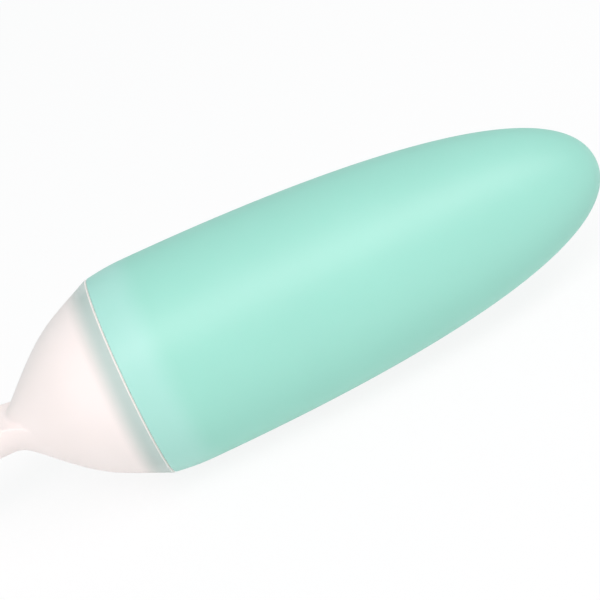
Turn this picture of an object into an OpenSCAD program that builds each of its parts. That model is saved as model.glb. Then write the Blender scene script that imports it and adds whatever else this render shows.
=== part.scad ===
// Squeeze spoon for baby food. A soft silicone bulb with a rounded closed end holds the food, a
// plastic ring is snapped into its mouth, and a milky plastic spoon head screws into that ring.
// X runs along the spoon, from the bowl to the closed end of the bulb, and Z points out of the
// bowl. The part lies on the belly of the bulb, which its weight flattens a little there, and its
// origin is below the middle of its box.

/* [Bulb] */
// Length of the bulb, from the seam to its closed end
bulb_len = 104.3; // [80:0.1:130]
// Largest diameter of the bulb
belly_d = 44.6; // [42:0.1:52]
// Diameter of the bulb and of the spoon head at the seam between them
seam_d = 43.3; // [40:0.1:46]
// Distance from the seam to the largest diameter
belly_x = 8; // [5:0.1:14]
// Wall of the bulb
bulb_wall = 2; // [1.4:0.1:2.4]
// Depth of the flat that the weight presses into the soft belly where the spoon lies
rest_depth = 0.5; // [0.4:0.05:0.8]

/* [Mouth of the bulb] */
// Height of the lip that reaches under the skirt of the spoon head
lip_h = 2.4; // [1.8:0.1:3]
// Least thickness of the lip at its free edge
lip_t = 1.4; // [1:0.1:1.8]
// Thickness of the silicone behind the seam that the ring grips
hem_t = 1; // [0.6:0.1:1.6]
// Least thickness of the silicone outside the ring
collar_t = 2.45; // [2.3:0.05:3]

/* [Neck ring] */
// Thickness of the flange in front of the lip
flange_t = 1.2; // [0.8:0.1:1.6]
// Wall of the tube that passes through the lip
ring_wall = 1.25; // [1:0.05:1.5]
// Depth of the ring below the seam
ring_depth = 8.3; // [7.6:0.1:10]
// Least height of the ring's shoulder, which holds it behind the lip
shoulder_h = 1.6; // [1:0.1:2]

/* [Seal] */
// Thickness of the sealing ring
seal_t = 1; // [0.6:0.1:1.4]
// Radial width of the sealing ring
seal_w = 1.5; // [1:0.1:1.8]

/* [Thread] */
// Number of thread starts
starts = 3; // [2:1:3]
// Axial distance between neighbouring threads
pitch = 4; // [3.8:0.1:5]
// Height of a thread ridge
ridge_h = 0.75; // [0.5:0.05:0.9]
// Width of a thread ridge at its foot
ridge_foot = 1.8; // [1.4:0.1:2]
// Width of a thread ridge at its crest
ridge_crest = 0.8; // [0.5:0.1:1]
// Part of a turn that one ridge covers, in degrees
ridge_wrap = 90; // [60:5:100]
// Radial clearance between a ridge and the wall that faces it
thread_gap = 0.2; // [0.15:0.05:0.3]
// Clearance along the axis between ridges that bear on each other
flank_gap = 0.1; // [0.05:0.05:0.2]

/* [Spoon head] */
// Length of the dome, from the seam to the neck
dome_len = 25; // [20:0.5:32]
// Diameter of the dome where it meets the stem
neck_d = 10.3; // [9.6:0.1:12]
// Wall of the dome
dome_wall = 1.5; // [1.2:0.1:1.8]
// Wall of the threaded spigot
spigot_wall = 1.45; // [1.2:0.05:1.7]
// Depth of the spigot below the seam
spigot_depth = 6.8; // [6.2:0.1:7.4]
// Wall of the dome where it ends in the neck
neck_wall = 2.6; // [2.2:0.1:3]
// Diameter of the feeding channel in the stem
channel_d = 4; // [3.2:0.1:4.4]
// Depth of the channel's centre below the axis
channel_drop = 0.8; // [0.4:0.1:1]
// Width of the stem
stem_w = 10.4; // [9:0.1:12]
// Height of the top of the stem above the axis
stem_top = 3.9; // [3.4:0.1:5]
// Depth of the underside of the stem below the axis
stem_base = 4; // [3.6:0.1:5]
// Length of the stem, from the neck to the start of the bowl
stem_len = 20; // [14:0.5:30]

/* [Bowl] */
// Length of the bowl, from the end of the stem to the tip
bowl_len = 45; // [38:0.5:54]
// Width of the bowl
bowl_w = 24; // [20:0.5:28]
// Depth of the underside of the bowl below the axis
bowl_base = 5.2; // [4.6:0.1:7]
// Rise of the rim from the stem to the tip
tip_rise = 1.4; // [0:0.1:3]
// Width of the rim round the bowl
rim_w = 1.4; // [1.1:0.1:1.8]
// Thickness of the bowl's floor
floor_t = 1.5; // [1.2:0.1:1.8]

/* [Clearances] */
// Gap at the seam between the bulb's shoulder and the rim of the spoon head
seam_gap = 0.1; // [0.05:0.01:0.2]
// Gap between the lip and the skirt round it
skirt_gap = 0.15; // [0.1:0.01:0.25]
// Gap between the ring and the silicone that holds it
ring_gap = 0.05; // [0.03:0.01:0.1]

/* [Hidden] */
$fn = 96;

// Length by which a cut runs past what it cuts
over = 1;
// Depth by which a thread ridge is sunk in its wall
root_sink = 0.3;
// Small bevel on moulded edges
edge = 0.3;
// Bevel that leads the spigot into the ring
lead_in = 0.6;
// Degrees between the rings of points along a thread ridge
ridge_step = 5;
// Number of steps over which a ridge rises at either end
ridge_ramp = 3;
// Steps along each curve of a turned outline
curve_steps = 24;

// Shape of the bulb, as shares of the length and radius that each control point follows
shoulder_shares = [[0.35, 0.62], [0.65, 1]];
body_shares = [0.43, 0.84];
// Shape of the dome, as shares of its length and of the drop from seam to neck
dome_shares = [[0.5, 0.333], [0.52, 0.3]];

seam_r = seam_d / 2;
belly_r = belly_d / 2;
neck_r = neck_d / 2;
channel_r = channel_d / 2;

// Radii of the mouth. The skirt and the lip taper like the dome, and the ring is as wide as both
// the lip inside the skirt and the bulb round the ring leave it.
skirt_slope = dome_shares[0][1] * (seam_r - neck_r) / (dome_shares[0][0] * dome_len);
function skirt_r(x) = seam_r - dome_wall + x * skirt_slope;
lip_tip_r = skirt_r(-lip_h) - skirt_gap;
lip_root_r = skirt_r(0) - skirt_gap;
collar_r = min(seam_r, belly_r) - collar_t;
shoulder_r = collar_r - ring_gap;
ring_tube_r = min(lip_tip_r - lip_t - ring_gap, shoulder_r - shoulder_h);
ring_in_r = ring_tube_r - ring_wall;
lip_in_r = ring_tube_r + ring_gap;
flange_x = lip_h + flange_t;
seat_x = flange_x + seal_t;
flange_r = skirt_r(-flange_x) - skirt_gap;
seal_out_r = skirt_r(-seat_x) - skirt_gap;
spigot_r = ring_in_r - thread_gap - ridge_h;
spigot_in_r = spigot_r - spigot_wall;

// Thread: one turn moves the head along by the lead
lead = pitch * starts;
ridge_mid_x = (spigot_depth - seam_gap) / 2 - lead_in;
ridge_slope = (ridge_foot - ridge_crest) / 2 / ridge_h;
mesh_offset = (ridge_foot + ridge_crest) / 2 - thread_gap * ridge_slope + flank_gap;

// Places along the spoon, measured from the seam towards the tip. The stem starts inside the
// dome, where it is as large as the dome, and narrows over a fillet at the neck.
root_in = 2;
fillet_len = 3.3;
root_dip = 1.7;
// Length of stem that already widens towards the bowl
flare_lead = 1;
neck_slope = (1 - dome_shares[1][1]) * (seam_r - neck_r) / ((1 - dome_shares[1][0]) * dome_len);
root_fit_share = 0.98;
root_r = (neck_r + root_in * neck_slope) * root_fit_share;
root_drop = root_r - stem_base;
root_flare = sqrt(pow(root_r, 2) - pow(stem_top - root_dip, 2)) - stem_w / 2;
root_x = dome_len - root_in;
root_len = root_in + fillet_len;
stem_x = root_x + root_len;
bowl_x = dome_len + stem_len;
flare_x = bowl_x - flare_lead;
tip_x = bowl_x + bowl_len;
// Shares of the bowl's length at its widest place, at the rear of its hollow and at the end of
// the channel's groove in its floor
wide_share = 0.45;
hollow_share = 0.09;
groove_share = 0.3;
wide_x = bowl_x + bowl_len * wide_share;
hollow_x = bowl_x + bowl_len * hollow_share;
groove_x = bowl_x + bowl_len * groove_share;

function bezier(a, b, c, d, t) =
    pow(1 - t, 3) * a + 3 * pow(1 - t, 2) * t * b + 3 * (1 - t) * t * t * c + pow(t, 3) * d;
function bezier_dir(a, b, c, d, t) =
    pow(1 - t, 2) * (b - a) + 2 * (1 - t) * t * (c - b) + t * t * (d - c);
function curve(p, from = 0) = [
    for (i = [from:curve_steps]) bezier(p[0], p[1], p[2], p[3], i / curve_steps)
];
// The same curve, moved to the right of its direction by a gap that can change along it
function curve_beside(p, gap, end_gap) = [
    for (i = [0:curve_steps])
        let (
            t = i / curve_steps,
            d = bezier_dir(p[0], p[1], p[2], p[3], t),
            aside = gap + (end_gap - gap) * t * t
        )
        bezier(p[0], p[1], p[2], p[3], t) + aside * [d[1], -d[0]] / norm(d)
];

// A body turned about the X axis, from an outline of [x, radius] points
module turned(outline) {
    rotate([0, 90, 0]) rotate_extrude() polygon([for (p = outline) [p[1], p[0]]]);
}

module placed() {
    translate([(tip_x - bulb_len) / 2, 0, belly_r - rest_depth]) children();
}

shoulder_curve = [
    [edge, seam_r],
    [belly_x * shoulder_shares[0][0], seam_r + (belly_r - seam_r) * shoulder_shares[0][1]],
    [belly_x * shoulder_shares[1][0], belly_r],
    [belly_x, belly_r]
];
body_curve = [
    [belly_x, belly_r],
    [belly_x + (bulb_len - belly_x) * body_shares[0], belly_r],
    [bulb_len, belly_r * body_shares[1]],
    [bulb_len, 0]
];
dome_curve = [
    [-seam_gap - edge, seam_r],
    [-dome_len * dome_shares[0][0], seam_r - (seam_r - neck_r) * dome_shares[0][1]],
    [-dome_len * dome_shares[1][0], seam_r - (seam_r - neck_r) * dome_shares[1][1]],
    [-dome_len, neck_r]
];

module squeeze_bulb() {
    recess_end = ring_depth + ring_gap;
    cavity_x = recess_end + belly_r - bulb_wall - collar_r;
    cavity = [for (p = curve_beside(body_curve, bulb_wall, bulb_wall)) if (p[0] > cavity_x) p];
    outline = concat(
        [[-lip_h, lip_in_r], [-lip_h, lip_tip_r], [0, lip_root_r], [0, seam_r - edge]],
        curve(shoulder_curve),
        curve(body_curve, 1),
        [for (i = [len(cavity) - 1:-1:0]) [cavity[i][0], max(0, cavity[i][1])]],
        [[cavity_x, belly_r - bulb_wall], [recess_end, collar_r], [hem_t, collar_r], [hem_t, lip_in_r]]
    );
    color("#a4e6d2") placed() difference() {
        turned(outline);
        translate([0, -belly_r, -belly_r - over]) cube([bulb_len, belly_d, rest_depth + over]);
    }
}

module neck_ring() {
    shoulder_x = hem_t + ring_gap;
    outline = [
        [-flange_x, ring_in_r],
        [-flange_x, flange_r],
        [-lip_h, flange_r],
        [-lip_h, ring_tube_r],
        [shoulder_x, ring_tube_r],
        [shoulder_x, shoulder_r],
        [ring_depth - edge, shoulder_r],
        [ring_depth, shoulder_r - edge],
        [ring_depth, ring_in_r]
    ];
    color("#f2efec") placed() {
        turned(outline);
        thread(ring_in_r, -1, ridge_mid_x - mesh_offset);
    }
}

module seal_ring() {
    outline = [
        [-seat_x, seal_out_r - seal_w],
        [-seat_x, seal_out_r],
        [-flange_x, seal_out_r],
        [-flange_x, seal_out_r - seal_w]
    ];
    color("#e9e9e4") placed() turned(outline);
}

// All starts of a thread on a wall. side is 1 for ridges outside the wall, and -1 for inside.
module thread(wall_r, side, mid_x) {
    steps = ceil(ridge_wrap / ridge_step);
    for (s = [0:starts - 1])
        rotate([s * 360 / starts, 0, 0]) ridge(wall_r, side, mid_x, steps);
}

module ridge(wall_r, side, mid_x, steps) {
    points = [
        for (i = [0:steps])
            let (
                turn = (i / steps - 0.5) * ridge_wrap,
                x = mid_x + lead * turn / 360,
                rise = min(1, (min(i, steps - i) + 1) / (ridge_ramp + 1)),
                foot_r = wall_r - side * root_sink,
                crest_r = wall_r + side * ridge_h * rise,
                half_foot = ridge_foot / 2 + root_sink * ridge_slope,
                half_crest = ridge_foot / 2 - ridge_h * rise * ridge_slope
            )
            each [
                [x - half_foot, foot_r * -sin(turn), foot_r * cos(turn)],
                [x - half_crest, crest_r * -sin(turn), crest_r * cos(turn)],
                [x + half_crest, crest_r * -sin(turn), crest_r * cos(turn)],
                [x + half_foot, foot_r * -sin(turn), foot_r * cos(turn)]
            ]
    ];
    loft(points, 4, side > 0);
}

// A closed solid through rings of points, each with the same count. flip turns its faces round.
module loft(points, count, flip) {
    rings = len(points) / count;
    sides = [
        for (i = [0:rings - 2], j = [0:count - 1])
            let (
                a = i * count + j,
                b = i * count + (j + 1) % count,
                c = a + count,
                d = b + count
            )
            each [[a, b, d], [a, d, c]]
    ];
    last = (rings - 1) * count;
    ends = [
        for (j = [1:count - 2]) each [[0, j + 1, j], [last, last + j, last + j + 1]]
    ];
    faces = concat(sides, ends);
    polyhedron(points, flip ? faces : [for (f = faces) [f[2], f[1], f[0]]]);
}

// Rails of the spoon, as functions of the distance from the seam
function ease(t) = t * t * (3 - 2 * t);
function clamp01(t) = min(1, max(0, t));
function dome_cap(t, power) = pow(max(0, 1 - pow(clamp01(t), power)), 1 / power);
// Share of the fillet at the neck that is left, from 1 at the root to 0 at the stem
function root_fillet(d) = pow(1 - clamp01((d - root_x) / root_len), fillet_power);

// Powers of the rounded ends of the bowl, and of the round underside of its sections
fillet_power = 1.9;
plan_power = 2.2;
keel_power = 2.4;
belly_power = 0.85;
function half_width(d, inset = 0) =
    let (
        widen = ease(clamp01((d - flare_x) / (wide_x - flare_x))),
        round_off = dome_cap((d - wide_x) / (tip_x - inset - wide_x), plan_power)
    )
    (stem_w / 2 + (bowl_w - stem_w) / 2 * widen - inset) * round_off + root_flare * root_fillet(d);
function rim_z(d) =
    stem_top + tip_rise * ease(clamp01((d - stem_x) / (tip_x - stem_x))) - root_dip * root_fillet(d);
function keel_z(d, inset = 0) =
    let (
        depth = stem_base + (bowl_base - stem_base) * ease(clamp01((d - bowl_x) / (wide_x - bowl_x))),
        round_off = dome_cap((d - wide_x) / (tip_x - inset - wide_x), keel_power)
    )
    rim_z(d) - (rim_z(d) + depth - inset) * round_off - root_drop * root_fillet(d);

// Stations along the spoon: close together at the neck and at the tip
root_steps = 8;
flare_steps = 10;
front_steps = 14;
section_steps = 22;
// Share of the front of the bowl at which its last section stands
last_share = 0.995;

outer_stations = concat(
    [for (i = [0:root_steps]) root_x + root_len * i / root_steps],
    [for (i = [0:flare_steps]) flare_x + (wide_x - flare_x) * i / flare_steps],
    [for (i = [1:front_steps]) wide_x + (tip_x - wide_x) * last_share * sin(90 * i / front_steps)]
);

// One section at distance d: a round underside from side to side, closed by a flat top that is
// narrower at each side by close and higher by rise
function section(d, w, top, base, close, rise) = concat(
    [
        for (j = [0:section_steps])
            let (a = 180 * j / section_steps, c = cos(a), s = sin(a))
            [-d, w * sign(c) * pow(abs(c), belly_power), top - (top - base) * pow(max(0, s), belly_power)]
    ],
    [[-d, close - w, top + rise], [-d, w - close, top + rise]]
);

module spoon_body() {
    loft([
        for (d = outer_stations)
            let (bevel = min(edge, half_width(d) / 3), side_z = rim_z(d) - bevel)
            each section(d, half_width(d), side_z, min(keel_z(d), side_z - bevel), bevel, bevel)
    ], section_steps + 3, false);
}

module spoon_hollow() {
    rear_len = wide_x - hollow_x;
    front_len = (tip_x - rim_w - wide_x) * last_share;
    stations = concat(
        [for (i = [0:flare_steps]) hollow_x + rear_len * (1 - cos(90 * i / flare_steps))],
        [for (i = [1:front_steps]) wide_x + front_len * sin(90 * i / front_steps)]
    );
    loft([
        for (d = stations)
            let (
                sink = dome_cap(last_share - (d - hollow_x) / rear_len, keel_power),
                floor_z = rim_z(d) - (rim_z(d) - keel_z(d, floor_t)) * sink
            )
            each section(d, half_width(d, rim_w), rim_z(d), floor_z, 0, over)
    ], section_steps + 3, false);
}

module spoon_head() {
    head_outline = concat(
        [[-dome_len, 0]],
        [for (i = [curve_steps:-1:0]) curve(dome_curve)[i]],
        [
            [-seam_gap, seam_r - edge],
            [-seam_gap, skirt_r(-seam_gap)],
            [-seat_x, skirt_r(-seat_x)],
            [-seat_x, spigot_r],
            [spigot_depth - lead_in, spigot_r],
            [spigot_depth, spigot_r - lead_in],
            [spigot_depth, 0]
        ]
    );
    outlet_r = channel_r + channel_drop;
    funnel = [
        for (p = curve_beside(dome_curve, -dome_wall, -neck_wall))
            if (p[1] < spigot_in_r && p[1] > outlet_r && p[0] < -seat_x) p
    ];
    funnel_end = funnel[len(funnel) - 1];
    outlet_x = funnel_end[0] - (funnel_end[1] - outlet_r);
    hollow_outline = concat(
        [[spigot_depth + over, 0], [spigot_depth + over, spigot_in_r], [funnel[0][0], spigot_in_r]],
        funnel,
        [[outlet_x, outlet_r], [outlet_x, 0]]
    );
    color("#f7efe9") placed() {
        difference() {
            union() {
                turned(head_outline);
                spoon_body();
            }
            turned(hollow_outline);
            translate([outlet_x + over, 0, -channel_drop]) rotate([0, -90, 0])
                cylinder(r = channel_r, h = groove_x + outlet_x + over);
            spoon_hollow();
        }
        thread(spigot_r, 1, ridge_mid_x);
    }
}

squeeze_bulb();
neck_ring();
seal_ring();
spoon_head();
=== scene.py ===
# A squeeze spoon for baby food, dressed for a picture: a mint silicone bulb with a plastic ring
# snapped into its mouth, and a milky plastic spoon head that screws into the ring over a seal.
# Every piece is modelled in millimetres along the spoon's axis, with x = 0 at the seam between
# bulb and head and +x towards the closed end of the bulb, and is then put in its place.
import math

import bmesh
import bpy
from mathutils import Matrix, Vector


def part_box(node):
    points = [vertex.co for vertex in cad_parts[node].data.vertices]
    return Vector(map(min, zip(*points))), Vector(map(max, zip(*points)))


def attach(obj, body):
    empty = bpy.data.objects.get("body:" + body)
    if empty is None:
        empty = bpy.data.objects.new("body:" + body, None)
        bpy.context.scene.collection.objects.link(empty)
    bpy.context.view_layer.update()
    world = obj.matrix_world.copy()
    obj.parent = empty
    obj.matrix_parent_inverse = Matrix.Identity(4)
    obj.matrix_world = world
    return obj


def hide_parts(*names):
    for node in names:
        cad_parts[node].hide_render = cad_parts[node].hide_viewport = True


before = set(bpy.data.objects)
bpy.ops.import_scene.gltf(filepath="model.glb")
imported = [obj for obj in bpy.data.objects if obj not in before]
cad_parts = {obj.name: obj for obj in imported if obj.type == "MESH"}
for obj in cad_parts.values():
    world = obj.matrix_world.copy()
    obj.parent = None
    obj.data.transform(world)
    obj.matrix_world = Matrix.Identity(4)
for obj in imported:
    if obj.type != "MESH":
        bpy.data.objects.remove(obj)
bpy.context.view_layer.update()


# The bulb: one moulding of soft mint silicone, 2 mm thick, open at the spoon end. Its lip reaches
# under the skirt of the spoon head, and behind the lip a recess holds the ring. It lies on its
# belly, which its weight flattens a little.
MM = 0.001
bulb_low, bulb_high = (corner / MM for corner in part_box("squeeze_bulb"))
head_low, head_high = (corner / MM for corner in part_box("spoon_head"))
lip_height = 2.4
seam_x = bulb_low.x + lip_height
axis_z = (head_low.z + head_high.z) / 2
seam_radius = (head_high.z - head_low.z) / 2
belly_radius = (bulb_high.y - bulb_low.y) / 2
bulb_length = bulb_high.x - seam_x
belly_x = 8
bulb_wall = 2
silicone_edge = 0.12

# The mouth: the lip, the hem behind it, the recess, and the skirt that the lip follows
hem = 1
lip_inner_radius = 17.55
collar_wall = 2.45
collar_radius = seam_radius - collar_wall
recess_depth = 8.35
edge = 0.3
dome_wall = 1.5
skirt_slope = 0.44
skirt_gap = 0.15
# The soft shoulder presses on the rim of the head, so it reaches a little past the seam
seam_reach = 0.05

# Where the pulls of the outline's curves lie, as shares of the length or height they span
shoulder_pulls = (0.35, 0.65)
shoulder_rise = 0.62
body_pull = 0.43
closed_end_pull = 0.84
SHOULDER_STEPS = 12
BODY_STEPS = 96
# Length left free where the curve of the cavity meets its front corner
corner_room = 0.5

# Points in a ring round the spoon, and how many degrees above the right side the first one
# lies, where the flat top of the stem has its corner
SIDES = 144
CORNER_TURN = 37.5
# Points closer together than this are one
TOUCH = 0.0005
# Degrees of turn above which an edge is sharp, and below which it is shaded smooth
SHARP_TURN = 35
SMOOTH_TURN = 30


def skirt_radius(x):
    """Inner radius of the spoon head's skirt, which the lip follows."""
    return seam_radius - dome_wall + x * skirt_slope


def curve(start, start_pull, end_pull, end, steps):
    """Points of a smooth curve from start to end, drawn by two pulls as on a drawing board."""
    points = []
    for step in range(steps + 1):
        t = step / steps
        weights = ((1 - t) ** 3, 3 * (1 - t) ** 2 * t, 3 * (1 - t) * t * t, t**3)
        corners = (start, start_pull, end_pull, end)
        points.append(tuple(sum(w * c[i] for w, c in zip(weights, corners)) for i in (0, 1)))
    return points


def beside(points, gap, end_gap):
    """The curve moved towards the axis by a changing gap, negative where the curve runs to -x."""
    moved = []
    for i, (x, radius) in enumerate(points):
        before, after = points[max(0, i - 1)], points[min(len(points) - 1, i + 1)]
        run, rise = after[0] - before[0], after[1] - before[1]
        length = math.hypot(run, rise)
        aside = gap + (end_gap - gap) * (i / (len(points) - 1)) ** 2
        moved.append((x + aside * rise / length, radius - aside * run / length))
    return moved


def circle(x, radius):
    """A ring of points round the axis, from above the right side downwards."""
    turns = [math.radians(CORNER_TURN - 360 / SIDES * i) for i in range(SIDES)]
    return [(x, radius * math.cos(t), radius * math.sin(t)) for t in turns]


def pick(piece):
    """Selects one piece alone, for the operators that follow."""
    bpy.ops.object.select_all(action="DESELECT")
    piece.select_set(True)
    bpy.context.view_layer.objects.active = piece


def sweep(name, rings, capped=False, flat_end=False):
    """Extrudes a ring of points from place to place, and joins points that meet.

    capped closes both ends. With flat_end the last ring is folded flat, and has no face.
    """
    bpy.ops.object.select_all(action="DESELECT")
    if capped:
        fill = "NGON"
    else:
        fill = "NOTHING"
    bpy.ops.mesh.primitive_circle_add(vertices=len(rings[0]), fill_type=fill)
    piece = bpy.context.object
    piece.name = piece.data.name = name
    for vertex, place in zip(piece.data.vertices, rings[0]):
        vertex.co = place
    order = piece.data.attributes.new("order", "INT", "POINT")
    for i, number in enumerate(order.data):
        number.value = i
    bpy.ops.object.mode_set(mode="EDIT")
    bpy.ops.mesh.select_all(action="SELECT")
    for ring_points in rings[1:]:
        bpy.ops.mesh.extrude_region_move()
        mesh = bmesh.from_edit_mesh(piece.data)
        order = mesh.verts.layers.int["order"]
        for vertex in mesh.verts:
            if vertex.select:
                vertex.co = ring_points[vertex[order]]
        bmesh.update_edit_mesh(piece.data)
    if flat_end:
        bpy.ops.mesh.delete(type="ONLY_FACE")
    bpy.ops.mesh.select_all(action="SELECT")
    bpy.ops.mesh.remove_doubles(threshold=TOUCH)
    bpy.ops.object.mode_set(mode="OBJECT")
    piece.data.attributes.remove(piece.data.attributes["order"])
    return piece


def turn(name, outline):
    """A body turned about the axis, from the (x, radius) points of its outline."""
    rings = [circle(x, radius) for x, radius in outline]
    if outline[0][1] > 0:
        return sweep(name, rings)
    # The outline starts on the axis, so the face on the first ring becomes a fan to that point
    piece = sweep(name, rings[1:], capped=True)
    cap_x = outline[1][0]
    near = 0.01
    bpy.ops.object.mode_set(mode="EDIT")
    bpy.ops.mesh.select_all(action="DESELECT")
    mesh = bmesh.from_edit_mesh(piece.data)
    cap = max(mesh.faces, key=lambda face: len(face.verts))
    cap.select = True
    bpy.ops.mesh.poke()
    mesh = bmesh.from_edit_mesh(piece.data)
    hubs = [vertex for vertex in mesh.verts if len(vertex.link_edges) == SIDES]
    centre = next(vertex for vertex in hubs if abs(vertex.co.x - cap_x) < near)
    centre.co.x = outline[0][0]
    bmesh.update_edit_mesh(piece.data)
    bpy.ops.object.mode_set(mode="OBJECT")
    return piece


def soften(piece, width, segments):
    """Rounds the sharp edges of a moulding."""
    bevel = piece.modifiers.new("edge", "BEVEL")
    bevel.width = width
    bevel.segments = segments
    bevel.limit_method = "ANGLE"
    bevel.angle_limit = math.radians(SHARP_TURN)
    pick(piece)
    bpy.ops.object.modifier_apply(modifier=bevel.name)


def put_in_place(piece):
    """Joins points that meet, turns the faces outwards and moves the piece to its place."""
    pick(piece)
    piece.scale = (MM, MM, MM)
    piece.location = (seam_x * MM, 0, axis_z * MM)
    bpy.ops.object.mode_set(mode="EDIT")
    bpy.ops.mesh.select_all(action="SELECT")
    bpy.ops.mesh.remove_doubles(threshold=TOUCH)
    bpy.ops.mesh.dissolve_degenerate(threshold=TOUCH)
    bpy.ops.mesh.normals_make_consistent(inside=False)
    bpy.ops.object.mode_set(mode="OBJECT")
    bpy.ops.object.transform_apply(location=True, rotation=True, scale=True)
    bpy.ops.object.shade_smooth_by_angle(angle=math.radians(SMOOTH_TURN))


shoulder = curve(
    (silicone_edge - seam_reach, seam_radius),
    (belly_x * shoulder_pulls[0], seam_radius + (belly_radius - seam_radius) * shoulder_rise),
    (belly_x * shoulder_pulls[1], belly_radius),
    (belly_x, belly_radius),
    SHOULDER_STEPS,
)
body = curve(
    (belly_x, belly_radius),
    (belly_x + (bulb_length - belly_x) * body_pull, belly_radius),
    (bulb_length, belly_radius * closed_end_pull),
    (bulb_length, 0),
    BODY_STEPS,
)
cavity = beside(body, bulb_wall, bulb_wall)
cavity[-1] = (bulb_length - bulb_wall, 0)
cavity_x = recess_depth + belly_radius - bulb_wall - collar_radius
cavity = [(x, radius) for x, radius in cavity if x > cavity_x + corner_room]
bulb_outline = [
    *reversed(cavity),
    (cavity_x, belly_radius - bulb_wall),
    (recess_depth, collar_radius),
    (hem, collar_radius),
    (hem, lip_inner_radius),
    (-lip_height, lip_inner_radius),
    (-lip_height, skirt_radius(-lip_height) - skirt_gap),
    (-seam_reach, skirt_radius(0) - skirt_gap),
    (-seam_reach, seam_radius - silicone_edge),
    *shoulder,
    *body[1:],
]
bulb = turn("bulb", bulb_outline)
soften(bulb, silicone_edge, 3)

# The belly is pressed flat where it lies
rest_z = bulb_low.z - axis_z
bpy.ops.object.mode_set(mode="EDIT")
bpy.ops.mesh.select_all(action="DESELECT")
mesh = bmesh.from_edit_mesh(bulb.data)
for vertex in mesh.verts:
    vertex.select = vertex.co.z < rest_z
mesh.select_flush(True)
bmesh.update_edit_mesh(bulb.data)
bpy.ops.transform.resize(value=(1, 1, 0), center_override=(0, 0, rest_z))
bpy.ops.object.mode_set(mode="OBJECT")
put_in_place(bulb)


def colour(hex_value):
    """An sRGB hex colour as the linear values that a shader takes."""
    parts = [int(hex_value[i : i + 2], 16) / 255 for i in (0, 2, 4)]
    return (*(p / 12.92 if p <= 0.04045 else ((p + 0.055) / 1.055) ** 2.4 for p in parts), 1)


def add(material, kind, inputs=(), **settings):
    """Adds a node with its settings, and sets or links each of its inputs."""
    new = material.node_tree.nodes.new(kind)
    for name, value in settings.items():
        setattr(new, name, value)
    for name, value in dict(inputs).items():
        if isinstance(value, bpy.types.NodeSocket):
            material.node_tree.links.new(value, new.inputs[name])
        else:
            new.inputs[name].default_value = value
    return new


def bare_material(name):
    """A new material with only its output node."""
    material = bpy.data.materials.new(name)
    material.use_nodes = True
    for old in list(material.node_tree.nodes):
        if old.type != "OUTPUT_MATERIAL":
            material.node_tree.nodes.remove(old)
    return material


def finish_with(material, shader):
    """Links the shader to the material's output."""
    output = next(n for n in material.node_tree.nodes if n.type == "OUTPUT_MATERIAL")
    material.node_tree.links.new(shader.outputs[0], output.inputs["Surface"])


# Platinum silicone rubber, moulded in a finely blasted steel mould: soft sheen, no sharp
# reflections, and light that sinks in a little. Beside the seam it looks paler, because the white
# ring shows through.
silicone = bare_material("mint_silicone")
mint = colour("9BDAC9")
pale_mint = colour("B2E2D8")
# The pigment is a little uneven over this length
cloud_size = 25 * MM
# The real grain is about a tenth of this, and is drawn coarser so that it shows
blast_size = 0.5 * MM
blast_depth = 0.05 * MM
# The paler zone fades out from this far before the recess's end to this far past it
fade_before = 3.5
fade_past = 2.5
pale_share = 0.55
# A Mix node's places for its two colours and for their mix
FIRST = 6
SECOND = 7
MIXED = 2
where = add(silicone, "ShaderNodeTexCoord")
clouds = add(
    silicone,
    "ShaderNodeTexNoise",
    {"Vector": where.outputs["Object"], "Scale": 1 / cloud_size, "Detail": 1},
)
cloud_tone = add(
    silicone,
    "ShaderNodeMapRange",
    {"Value": clouds.outputs["Fac"], "To Min": 0.97, "To Max": 1.03},
)
place = add(silicone, "ShaderNodeSeparateXYZ", {"Vector": where.outputs["Object"]})
ring_shows = add(
    silicone,
    "ShaderNodeMapRange",
    {
        "Value": place.outputs["X"],
        "From Min": (seam_x + recess_depth - fade_before) * MM,
        "From Max": (seam_x + recess_depth + fade_past) * MM,
        "To Min": pale_share,
        "To Max": 0,
    },
    interpolation_type="SMOOTHSTEP",
)
tint = add(
    silicone,
    "ShaderNodeMix",
    {"Factor": ring_shows.outputs["Result"], FIRST: mint, SECOND: pale_mint},
    data_type="RGBA",
)
toned = add(
    silicone,
    "ShaderNodeVectorMath",
    {0: tint.outputs[MIXED], "Scale": cloud_tone.outputs["Result"]},
    operation="SCALE",
)
blast = add(
    silicone,
    "ShaderNodeTexNoise",
    {"Vector": where.outputs["Object"], "Scale": 1 / blast_size, "Detail": 2},
)
blast_bump = add(
    silicone,
    "ShaderNodeBump",
    {"Height": blast.outputs["Fac"], "Strength": 0.08, "Distance": blast_depth},
)
silicone_shader = add(
    silicone,
    "ShaderNodeBsdfPrincipled",
    {
        "Base Color": toned.outputs[0],
        "Roughness": 0.5,
        "IOR": 1.41,
        "Specular IOR Level": 1,
        "Subsurface Weight": 0.35,
        "Subsurface Radius": (1, 1, 1),
        "Subsurface Scale": 1.5 * MM,
        "Normal": blast_bump.outputs["Normal"],
    },
)
finish_with(silicone, silicone_shader)
bulb.data.materials.append(silicone)
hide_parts("squeeze_bulb")
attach(bulb, "bulb")


# The ring: a stiff white polypropylene moulding, snapped into the bulb's mouth. Its flange sits
# in front of the lip and its shoulder behind, and three threads inside take the spoon head.
flange_x = 3.6
flange_radius = skirt_radius(-flange_x) - skirt_gap
ring_gap = 0.05
ring_tube_radius = lip_inner_radius - ring_gap
ring_wall = 1.25
ring_inner_radius = ring_tube_radius - ring_wall
ring_depth = 8.3
ring_shoulder_radius = collar_radius - ring_gap
ring_edge = 0.2

# The threads: three starts, so that one turn moves the head by the lead
starts = 3
lead = 12
thread_gap = 0.2
flank_gap = 0.1
ridge_height = 0.75
ridge_foot = 1.8
ridge_crest = 0.8
ridge_slope = (ridge_foot - ridge_crest) / 2 / ridge_height
ridge_edge = 0.15
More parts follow.
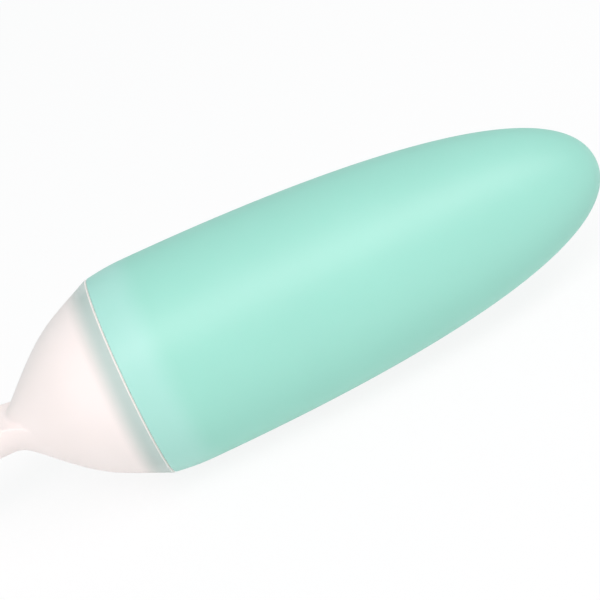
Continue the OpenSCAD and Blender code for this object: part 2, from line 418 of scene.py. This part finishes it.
# Depth by which a ridge is sunk in its wall
ridge_sink = 0.3
# Degrees that a ridge covers, degrees between its rings of points, and rings in its ramps
ridge_wrap = 90
ridge_step = 3
ridge_ramp = 5
# This small turn keeps the ends of the ridges off the edges of the walls
ridge_turn = 0.25

# The spigot of the head, which sets where the ridges of head and ring bear on each other
spigot_depth = 6.8
lead_in = 0.6
seam_gap = 0.1
ridge_middle_x = (spigot_depth - seam_gap) / 2 - lead_in
mesh_offset = (ridge_foot + ridge_crest) / 2 - thread_gap * ridge_slope + flank_gap


def face_outwards(piece):
    """Turns all the faces of a piece outwards."""
    pick(piece)
    bpy.ops.object.mode_set(mode="EDIT")
    bpy.ops.mesh.select_all(action="SELECT")
    bpy.ops.mesh.normals_make_consistent(inside=False)
    bpy.ops.object.mode_set(mode="OBJECT")


def ridges(name, wall_radius, side, middle_x):
    """The thread ridges on a wall, outside it for side 1 and inside it for side -1."""
    pieces = []
    steps = ridge_wrap // ridge_step
    for start in range(starts):
        rings = []
        for step in range(steps + 1):
            turned = (step / steps - 0.5) * ridge_wrap
            x = middle_x + lead * turned / 360
            from_end = min(step, steps - step) + 1
            rise = ridge_height * math.sin(math.pi / 2 * min(1, from_end / ridge_ramp))
            half_foot = ridge_foot / 2 + ridge_sink * ridge_slope
            half_crest = ridge_foot / 2 - rise * ridge_slope
            angle = math.radians(turned + 360 / starts * start + ridge_turn)
            foot_radius = wall_radius - side * ridge_sink
            crest_radius = wall_radius + side * rise
            corners = (
                (x - half_foot, foot_radius),
                (x - half_crest, crest_radius),
                (x + half_crest, crest_radius),
                (x + half_foot, foot_radius),
            )
            rings.append([(u, -r * math.sin(angle), r * math.cos(angle)) for u, r in corners])
        pieces.append(sweep(name, rings, capped=True))
    for piece in pieces:
        piece.select_set(True)
    bpy.context.view_layer.objects.active = pieces[0]
    bpy.ops.object.join()
    face_outwards(pieces[0])
    soften(pieces[0], ridge_edge, 2)
    return pieces[0]


def combine(piece, tool, operation):
    """Joins the tool to the piece, or cuts it away, and removes the tool."""
    face_outwards(piece)
    face_outwards(tool)
    joint = piece.modifiers.new("joint", "BOOLEAN")
    joint.object = tool
    joint.operation = operation
    joint.solver = "EXACT"
    pick(piece)
    bpy.ops.object.modifier_apply(modifier=joint.name)
    bpy.data.objects.remove(tool)


ring_outline = [
    (-flange_x, ring_inner_radius),
    (-flange_x, flange_radius),
    (-lip_height, flange_radius),
    (-lip_height, ring_tube_radius),
    (hem + ring_gap, ring_tube_radius),
    (hem + ring_gap, ring_shoulder_radius),
    (ring_depth, ring_shoulder_radius),
    (ring_depth, ring_inner_radius),
    (-flange_x, ring_inner_radius),
]
ring = turn("neck_ring_moulding", ring_outline)
soften(ring, ring_edge, 2)
ring_threads = ridges("ring_threads", ring_inner_radius, -1, ridge_middle_x - mesh_offset)
combine(ring, ring_threads, "UNION")
put_in_place(ring)

# Polypropylene with a white pigment, moulded against polished steel: an even, waxy half gloss,
# with a faint cloud where the melt flowed.
ring_plastic = bare_material("white_polypropylene")
ring_white = colour("EDEBE6")
ring_light = colour("F5F4F0")
flow_size = 6 * MM
flow_depth = 0.05 * MM
where = add(ring_plastic, "ShaderNodeTexCoord")
flow = add(
    ring_plastic,
    "ShaderNodeTexNoise",
    {"Vector": where.outputs["Object"], "Scale": 1 / flow_size, "Detail": 2},
)
flow_tone = add(
    ring_plastic,
    "ShaderNodeMix",
    {"Factor": flow.outputs["Fac"], FIRST: ring_white, SECOND: ring_light},
    data_type="RGBA",
)
flow_bump = add(
    ring_plastic,
    "ShaderNodeBump",
    {"Height": flow.outputs["Fac"], "Strength": 0.05, "Distance": flow_depth},
)
ring_shader = add(
    ring_plastic,
    "ShaderNodeBsdfPrincipled",
    {
        "Base Color": flow_tone.outputs[MIXED],
        "Roughness": 0.38,
        "IOR": 1.49,
        "Normal": flow_bump.outputs["Normal"],
    },
)
finish_with(ring_plastic, ring_shader)
ring.data.materials.append(ring_plastic)
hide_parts("neck_ring")
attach(ring, "bulb")


# The seal: a flat ring of pale silicone between the ring's flange and the spoon head, cut square
# from a moulded sleeve, with its edges just broken.
seal_thickness = 1
seal_width = 1.5
seal_edge = 0.2
seal_x = flange_x + seal_thickness
seal_radius = skirt_radius(-seal_x) - skirt_gap
seal_outline = [
    (-seal_x, seal_radius - seal_width),
    (-seal_x, seal_radius),
    (-flange_x, seal_radius),
    (-flange_x, seal_radius - seal_width),
    (-seal_x, seal_radius - seal_width),
]
seal = turn("sealing_ring", seal_outline)
soften(seal, seal_edge, 3)
put_in_place(seal)

# Clear-base silicone with a trace of white: a dull, slightly grey skin with the fine grain that
# the knife leaves.
seal_silicone = bare_material("pale_silicone")
seal_grey = colour("DCDFDA")
seal_light = colour("E9EBE6")
# The real marks are finer, and are drawn this coarse so that they show
cut_size = 0.4 * MM
cut_depth = 0.05 * MM
where = add(seal_silicone, "ShaderNodeTexCoord")
cut_marks = add(
    seal_silicone,
    "ShaderNodeTexNoise",
    {"Vector": where.outputs["Object"], "Scale": 1 / cut_size, "Detail": 2},
)
seal_tone = add(
    seal_silicone,
    "ShaderNodeMix",
    {"Factor": cut_marks.outputs["Fac"], FIRST: seal_grey, SECOND: seal_light},
    data_type="RGBA",
)
cut_bump = add(
    seal_silicone,
    "ShaderNodeBump",
    {"Height": cut_marks.outputs["Fac"], "Strength": 0.15, "Distance": cut_depth},
)
seal_shader = add(
    seal_silicone,
    "ShaderNodeBsdfPrincipled",
    {
        "Base Color": seal_tone.outputs[MIXED],
        "Roughness": 0.5,
        "IOR": 1.41,
        "Normal": cut_bump.outputs["Normal"],
    },
)
finish_with(seal_silicone, seal_shader)
seal.data.materials.append(seal_silicone)
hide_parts("seal_ring")
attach(seal, "seal")


# The spoon head: one moulding of milky polypropylene. A dome with a skirt and a threaded spigot
# narrows to a stem with a flat top, a 4 mm channel leads through the stem, and the channel opens
# in the rear of a shallow bowl.
neck_radius = 5.15
dome_length = 25
neck_wall = 2.6
spigot_radius = ring_inner_radius - thread_gap - ridge_height
spigot_wall = 1.45
spigot_inner_radius = spigot_radius - spigot_wall
channel_radius = 2
channel_drop = 0.8
CHANNEL_SIDES = 48
# Length by which the channel's tool starts inside the funnel
channel_lead = 1
outlet_radius = channel_radius + channel_drop
drop = seam_radius - neck_radius
# Where the pulls of the dome's curve lie, as shares of its length and of its drop
first_pull = (0.5, 0.333)
last_pull = (0.52, 0.3)
DOME_STEPS = 60
dome = curve(
    (-seam_gap - edge, seam_radius),
    (-dome_length * first_pull[0], seam_radius - drop * first_pull[1]),
    (-dome_length * last_pull[0], seam_radius - drop * last_pull[1]),
    (-dome_length, neck_radius),
    DOME_STEPS,
)
funnel = [
    (x, radius)
    for x, radius in beside(dome, -dome_wall, -neck_wall)
    if outlet_radius < radius < spigot_inner_radius and x < -seal_x
]
funnel_end_x, funnel_end_radius = funnel[-1]
outlet_x = funnel_end_x - (funnel_end_radius - outlet_radius)

# Places along the stem and the bowl, as distances from the seam. The stem's root starts inside
# the dome, and those in the bowl are shares of its length.
tip = seam_x - head_low.x
root_inset = 2
fillet_lead = 1
fillet_length = 3.3
root = dome_length - root_inset
fillet_start = root - fillet_lead
stem_start = dome_length + fillet_length
bowl_length = 45
flare_lead = 1
wide_share = 0.45
hollow_share = 0.09
groove_share = 0.3
bowl_start = tip - bowl_length
flare_start = bowl_start - flare_lead
widest = bowl_start + bowl_length * wide_share
hollow_start = bowl_start + bowl_length * hollow_share
groove_end = bowl_start + bowl_length * groove_share

# Widths, heights above and depths below the axis, and roundings
stem_half_width = 5.2
stem_top = 3.9
stem_base = 4
bowl_half_width = 12
bowl_base = 5.2
tip_rise = 1.4
root_dip = 1.7
rim_width = 1.4
rim_round = 0.25
floor_thickness = 1.5
rear_rounding = 7
rear_flat = 0.05
side_fillet = 1.4
top_fillet = 0.5
# Powers that set how full the roundings are: at the root, in plan, in the keel and across
root_power = 1.9
plan_power = 2.2
keel_power = 2.4
across_power = 0.85

# The root of the stem is just smaller than the dome round it
root_fit = 0.98
neck_slope = (1 - last_pull[1]) * drop / ((1 - last_pull[0]) * dome_length)
root_radius = (neck_radius + root_inset * neck_slope) * root_fit
root_flare = math.sqrt(root_radius**2 - (stem_top - root_dip) ** 2) - stem_half_width

# A section has BOTTOM_STEPS + HOLLOW_STEPS + 4 * CORNER_STEPS + 2 * RIM_STEPS points, as many
# as a ring has SIDES
BOTTOM_STEPS = 102
HOLLOW_STEPS = 26
CORNER_STEPS = 3
RIM_STEPS = 2
# Sections along the spoon, from the fillet to the front of the bowl
FILLET_STEPS = 24
STEM_STEPS = 6
FLARE_STEPS = 8
REAR_STEPS = 28
FRONT_STEPS = 24


def clamped(t):
    """The share t, kept between 0 and 1."""
    return min(1, max(0, t))


def ease(t):
    """A share that starts and ends softly."""
    t = clamped(t)
    return t * t * (3 - 2 * t)


def rounded(t, power):
    """From 1 to 0 as along a rounded end, fuller for a higher power."""
    return (1 - clamped(t) ** power) ** (1 / power)


def fillet(d):
    """How much of the root's shape is left, from 1 at the root to 0 on the stem."""
    return (1 - clamped((d - root) / (stem_start - root))) ** root_power


def half_width(d, inset=0):
    """Half the width of stem and bowl, or of a line that runs inside their outline."""
    widen = ease((d - flare_start) / (widest - flare_start))
    across = stem_half_width + (bowl_half_width - stem_half_width) * widen - inset
    return across * rounded((d - widest) / (tip - inset - widest), plan_power) + root_flare * fillet(d)


def rim(d):
    """Height of the top of stem and bowl."""
    return stem_top + tip_rise * ease((d - stem_start) / (tip - stem_start)) - root_dip * fillet(d)


def keel(d, inset=0):
    """Height of the underside, or of a floor that lies above it."""
    depth = stem_base + (bowl_base - stem_base) * ease((d - bowl_start) / (widest - bowl_start))
    round_off = rounded((d - widest) / (tip - inset - widest), keel_power)
    return rim(d) - (rim(d) + depth - inset) * round_off - (root_radius - stem_base) * fillet(d)


def hollow_depth(d):
    """How deep the hollow can be, over a floor of even thickness."""
    return rim(d) - keel(d, floor_thickness)


def rear_share(d):
    """Share of the hollow's width. It grows from a narrow rear end, to which the top closes."""
    if d < hollow_start:
        share = ease((hollow_start - d) / (hollow_start - flare_start))
    else:
        share = rounded((hollow_start + rear_rounding - d) / rear_rounding, 2)
    return rear_flat + (1 - rear_flat) * share


def half_round(step, steps):
    """Places round a full half section: 1 to -1 across, and 0 to 1 to 0 in depth."""
    a = math.pi * step / steps
    c, s = math.cos(a), max(0, math.sin(a))
    return math.copysign(abs(c) ** across_power, c), s**across_power


def section(d, inner_d, floor_share):
    """One ring of the stem or the bowl. Inner points follow inner_d, where the hollow's rim is."""
    width = half_width(d)
    inner_width = half_width(inner_d, rim_width) * rear_share(inner_d)
    # The underside, from the right side to the left
    corner = min(rim_round, width / 4)
    side_z = rim(d) - corner
    ring_points = []
    for step in range(BOTTOM_STEPS):
        across, depth = half_round(step, BOTTOM_STEPS)
        ring_points.append((-d, width * across, side_z - (side_z - keel(d)) * depth))
    # The top on the left: outer corner, flat and inner corner, by distance from the side
    sunk = hollow_depth(inner_d) * floor_share
    inner_corner = min(rim_round, sunk / 2)
    span = math.hypot(inner_d - d, width - inner_width)
    half_top = []
    for step in range(CORNER_STEPS):
        a = math.pi / 2 * step / CORNER_STEPS
        half_top.append((corner * (1 - math.cos(a)), side_z + corner * math.sin(a)))
    for step in range(RIM_STEPS + 1):
        flat = corner + (span - corner - inner_corner) * step / RIM_STEPS
        half_top.append((flat, rim(d)))
    for step in range(1, CORNER_STEPS + 1):
        a = math.pi / 2 * step / CORNER_STEPS
        inwards = span - inner_corner * (1 - math.sin(a))
        half_top.append((inwards, rim(d) - inner_corner * (1 - math.cos(a))))
    left = [
        (-d - (inner_d - d) * s / span, -(width - (width - inner_width) * s / span), z)
        for s, z in half_top
    ]
    ring_points += left
    # The floor of the hollow, and the top on the right
    hollow_z = rim(d) - inner_corner
    for step in range(1, HOLLOW_STEPS):
        across, depth = half_round(step, HOLLOW_STEPS)
        floor_z = hollow_z - (sunk - inner_corner) * depth
        ring_points.append((-inner_d, -inner_width * across, floor_z))
    ring_points += [(x, -y, z) for x, y, z in reversed(left[1:])]
    return ring_points


def stem_reach(ring_points, angle):
    """How far a ring reaches from the axis in one direction."""
    c, s = math.cos(angle), math.sin(angle)
    furthest = 0
    for (_, y, z), (_, next_y, next_z) in zip(ring_points, ring_points[1:] + ring_points[:1]):
        side, next_side = c * z - s * y, c * next_z - s * next_y
        if side * next_side <= 0 and side != next_side:
            share = side / (side - next_side)
            along = c * (y + (next_y - y) * share) + s * (z + (next_z - z) * share)
            furthest = max(furthest, along)
    return furthest


def dome_reach(d):
    """The dome's radius, carried on straight past its end."""
    for (x, radius), (next_x, next_radius) in zip(dome, dome[1:]):
        if -next_x >= d:
            return radius + (next_radius - radius) * (-d - x) / (next_x - x)
    return neck_radius - neck_slope * (d - dome_length)


def root_ring(d):
    """The outline of dome and stem together, with a fillet that is largest at the sides."""
    stem = section(d, d, 0)
    share = ease((d - dome_length) / (stem_start - dome_length))
    dome_radius = dome_reach(d)
    ring_points = []
    for i, (_, y, z) in enumerate(stem):
        angle = math.radians(CORNER_TURN - 360 / SIDES * i)
        off = math.remainder(math.atan2(z, y) - angle, 2 * math.pi)
        angle += off * share
        stem_radius = stem_reach(stem, angle)
        size = top_fillet + (side_fillet - top_fillet) * math.cos(angle) ** 2
        overlap = max(0, 1 - abs(dome_radius - stem_radius) / size)
        radius = max(dome_radius, stem_radius) + size * overlap**3 / 6
        ring_points.append((-d, radius * math.cos(angle), radius * math.sin(angle)))
    return ring_points


inner_outline = [
    (outlet_x, outlet_radius),
    *reversed(funnel),
    (funnel[0][0], spigot_inner_radius),
    (spigot_depth, spigot_inner_radius),
    (spigot_depth, spigot_radius - lead_in),
    (spigot_depth - lead_in, spigot_radius),
    (-seal_x, spigot_radius),
    (-seal_x, skirt_radius(-seal_x)),
    (-seam_gap, skirt_radius(-seam_gap)),
    (-seam_gap, seam_radius - edge),
]
rings = [circle(x, radius) for x, radius in inner_outline]
rings += [circle(x, radius) for x, radius in dome if -x < fillet_start]
for step in range(FILLET_STEPS + 1):
    rings.append(root_ring(fillet_start + (stem_start - fillet_start) * step / FILLET_STEPS))
for step in range(1, STEM_STEPS + 1):
    d = stem_start + (flare_start - stem_start) * step / STEM_STEPS
    rings.append(section(d, d, 0))
for step in range(1, FLARE_STEPS):
    d = flare_start + (hollow_start - flare_start) * step / FLARE_STEPS
    rings.append(section(d, d, 0))
for step in range(REAR_STEPS):
    d = hollow_start + (widest - hollow_start) * (1 - math.cos(math.pi / 2 * step / REAR_STEPS))
    floor_share = rounded(1 - (d - hollow_start) / (widest - hollow_start), keel_power)
    rings.append(section(d, d, floor_share))
for step in range(FRONT_STEPS):
    forward = math.sin(math.pi / 2 * step / FRONT_STEPS)
    d = widest + (tip - widest) * forward
    inner_d = widest + (tip - rim_width - widest) * forward
    rings.append(section(d, inner_d, 1))
rings.append(section(tip, tip - rim_width, 1))
head = sweep("spoon_moulding", rings, capped=True, flat_end=True)
combine(head, ridges("spigot_threads", spigot_radius, 1, ridge_middle_x), "UNION")

# The channel is drilled from the funnel to the end of its groove in the bowl. Its circle touches
# the funnel's end circle at the bottom, and this cut isn't reliable there: it leaves that end
# shut by a wall without thickness, or open all round the channel.
bpy.ops.object.select_all(action="DESELECT")
channel_length = groove_end + outlet_x + channel_lead
bpy.ops.mesh.primitive_cylinder_add(
    vertices=CHANNEL_SIDES,
    radius=channel_radius,
    depth=channel_length,
    location=(outlet_x + channel_lead - channel_length / 2, 0, -channel_drop),
    rotation=(0, math.pi / 2, 0),
)
channel = bpy.context.object
bpy.ops.object.transform_apply(location=True, rotation=True, scale=True)
combine(head, channel, "DIFFERENCE")
put_in_place(head)

# Natural polypropylene, moulded about 1.5 mm thick: milky, waxy, and clear enough for what lies
# close behind it to show through as a soft stain.
milky = bare_material("milky_polypropylene")
milk = colour("FBEEE9")
pale_milk = colour("FEF2EE")
bulb_stain = colour("DDECE6")
haze_size = 9 * MM
haze_depth = 0.05 * MM
# The stain of the bulb's lip grows from this far before the seam to this near to it, and leaves
# out the skirt's rounded rim over this length
stain_start = 6.2
stain_full = 1.5
rim_fade = 0.15
where = add(milky, "ShaderNodeTexCoord")
haze = add(
    milky,
    "ShaderNodeTexNoise",
    {"Vector": where.outputs["Object"], "Scale": 1 / haze_size, "Detail": 1},
)
haze_tone = add(
    milky,
    "ShaderNodeMix",
    {"Factor": haze.outputs["Fac"], FIRST: milk, SECOND: pale_milk},
    data_type="RGBA",
)
haze_bump = add(
    milky,
    "ShaderNodeBump",
    {"Height": haze.outputs["Fac"], "Strength": 0.06, "Distance": haze_depth},
)
wall_place = add(milky, "ShaderNodeSeparateXYZ", {"Vector": where.outputs["Object"]})
skirt_share = add(
    milky,
    "ShaderNodeMapRange",
    {
        "Value": wall_place.outputs["X"],
        "From Min": (seam_x - stain_start) * MM,
        "From Max": (seam_x - stain_full) * MM,
    },
    interpolation_type="SMOOTHSTEP",
)
rim_share = add(
    milky,
    "ShaderNodeMapRange",
    {
        "Value": wall_place.outputs["X"],
        "From Min": (seam_x - seam_gap - edge - rim_fade) * MM,
        "From Max": (seam_x - seam_gap - edge) * MM,
    },
)
clear_share = add(
    milky,
    "ShaderNodeMath",
    {0: skirt_share.outputs["Result"], 1: rim_share.outputs["Result"]},
    operation="SUBTRACT",
    use_clamp=True,
)
cover = add(
    milky,
    "ShaderNodeMapRange",
    {"Value": clear_share.outputs[0], "To Min": 0.96, "To Max": 0.6},
)
stained = add(
    milky,
    "ShaderNodeMix",
    {"Factor": clear_share.outputs[0], FIRST: haze_tone.outputs[MIXED], SECOND: bulb_stain},
    data_type="RGBA",
)
milky_shader = add(
    milky,
    "ShaderNodeBsdfPrincipled",
    {
        "Base Color": stained.outputs[MIXED],
        "Roughness": 0.45,
        "IOR": 1.49,
        "Alpha": cover.outputs["Result"],
        "Subsurface Weight": 0.3,
        "Subsurface Radius": (1, 1, 1),
        "Subsurface Scale": 1 * MM,
        "Normal": haze_bump.outputs["Normal"],
    },
)
finish_with(milky, milky_shader)
head.data.materials.append(milky)
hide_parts("spoon_head")
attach(head, "head")


# The studio: a white floor under the spoon, a long soft box above and in front of it, and a weak
# one low in front. The floor looks white to the camera, and keeps a little of the spoon's shadow.
floor_drop = 0.1 * MM
glow_share = 0.88
bpy.ops.object.select_all(action="DESELECT")
bpy.ops.mesh.primitive_plane_add(size=6, location=(0, 0, -floor_drop))
floor = bpy.context.object
floor.name = "floor"
floor_finish = bare_material("white_floor")
painted = add(floor_finish, "ShaderNodeBsdfDiffuse", {"Color": colour("F4F4F4")})
glow = add(floor_finish, "ShaderNodeEmission", {"Strength": 1})
seen = add(floor_finish, "ShaderNodeLightPath")
straight = add(
    floor_finish,
    "ShaderNodeMath",
    {0: seen.outputs["Is Camera Ray"], 1: seen.outputs["Is Glossy Ray"]},
    operation="MAXIMUM",
)
through = add(
    floor_finish,
    "ShaderNodeMath",
    {0: straight.outputs[0], 1: seen.outputs["Is Transmission Ray"]},
    operation="MAXIMUM",
)
share = add(
    floor_finish,
    "ShaderNodeMath",
    {0: through.outputs[0], 1: glow_share},
    operation="MULTIPLY",
)
floor_mix = add(
    floor_finish,
    "ShaderNodeMixShader",
    {0: share.outputs[0], 1: painted.outputs[0], 2: glow.outputs[0]},
)
finish_with(floor_finish, floor_mix)
floor.data.materials.append(floor_finish)

# The room lights the spoon weakly from all sides, a little cool, and looks white to the camera
world = bpy.data.worlds.new("white_room")
bpy.context.scene.world = world
world.use_nodes = True
room = world.node_tree.nodes["Background"]
room.inputs["Color"].default_value = (0.82, 1, 1, 1)
room_path = add(world, "ShaderNodeLightPath")
room_strength = add(
    world,
    "ShaderNodeMapRange",
    {"Value": room_path.outputs["Is Camera Ray"], "To Min": 0.53, "To Max": 1},
)
world.node_tree.links.new(room_strength.outputs["Result"], room.inputs["Strength"])


def soft_box(name, place_at, length, width, power, tint=(1, 1, 1)):
    """A lamp of that length and width, at a place, turned to the middle of the spoon."""
    lamp = bpy.data.lights.new(name, "AREA")
    lamp.shape = "RECTANGLE"
    lamp.size = length
    lamp.size_y = width
    lamp.energy = power
    lamp.color = tint
    holder = bpy.data.objects.new(name, lamp)
    bpy.context.collection.objects.link(holder)
    holder.location = place_at
    towards = Vector((0, 0, axis_z * MM)) - Vector(place_at)
    holder.rotation_euler = towards.to_track_quat("-Z", "Y").to_euler()


warm = (1, 0.84, 0.88)
soft_box("main_box", (0.15, -0.42, 0.72), length=1.6, width=0.3, power=7.2, tint=warm)
soft_box("fill_box", (-0.45, -0.55, 0.15), length=1, width=0.3, power=0.6)

# The camera looks across the spoon from 30 degrees above, rolled so that the spoon climbs to the
# right, and so close that the stem runs out of the picture.
elevation = math.radians(30)
roll = math.radians(24.9)
distance = 492.1
# Focal length and width of the picture, both in pixels
photo_focus = 2414
photo_width = 600
# What the camera aims at, past the seam along the axis and below it in the picture
aim_x = 37.57
aim_below = 0.54
up = Vector((0, math.sin(elevation), math.cos(elevation)))
back = Vector((0, -math.cos(elevation), math.sin(elevation)))
right = Vector((1, 0, 0))
aim = Vector((seam_x + aim_x, 0, axis_z)) - aim_below * up
rolled_right = math.cos(roll) * right - math.sin(roll) * up
rolled_up = math.sin(roll) * right + math.cos(roll) * up
camera_data = bpy.data.cameras.new("camera")
camera_data.sensor_width = 36
camera_data.lens = camera_data.sensor_width * photo_focus / photo_width
camera_data.clip_start = 0.01
camera_data.clip_end = 20
camera = bpy.data.objects.new("camera", camera_data)
bpy.context.collection.objects.link(camera)
camera.matrix_world = Matrix.Translation((aim + distance * back) * MM) @ Matrix(
    (rolled_right, rolled_up, back)
).transposed().to_4x4()
bpy.context.scene.camera = camera
bpy.context.scene.view_settings.view_transform = "Standard"
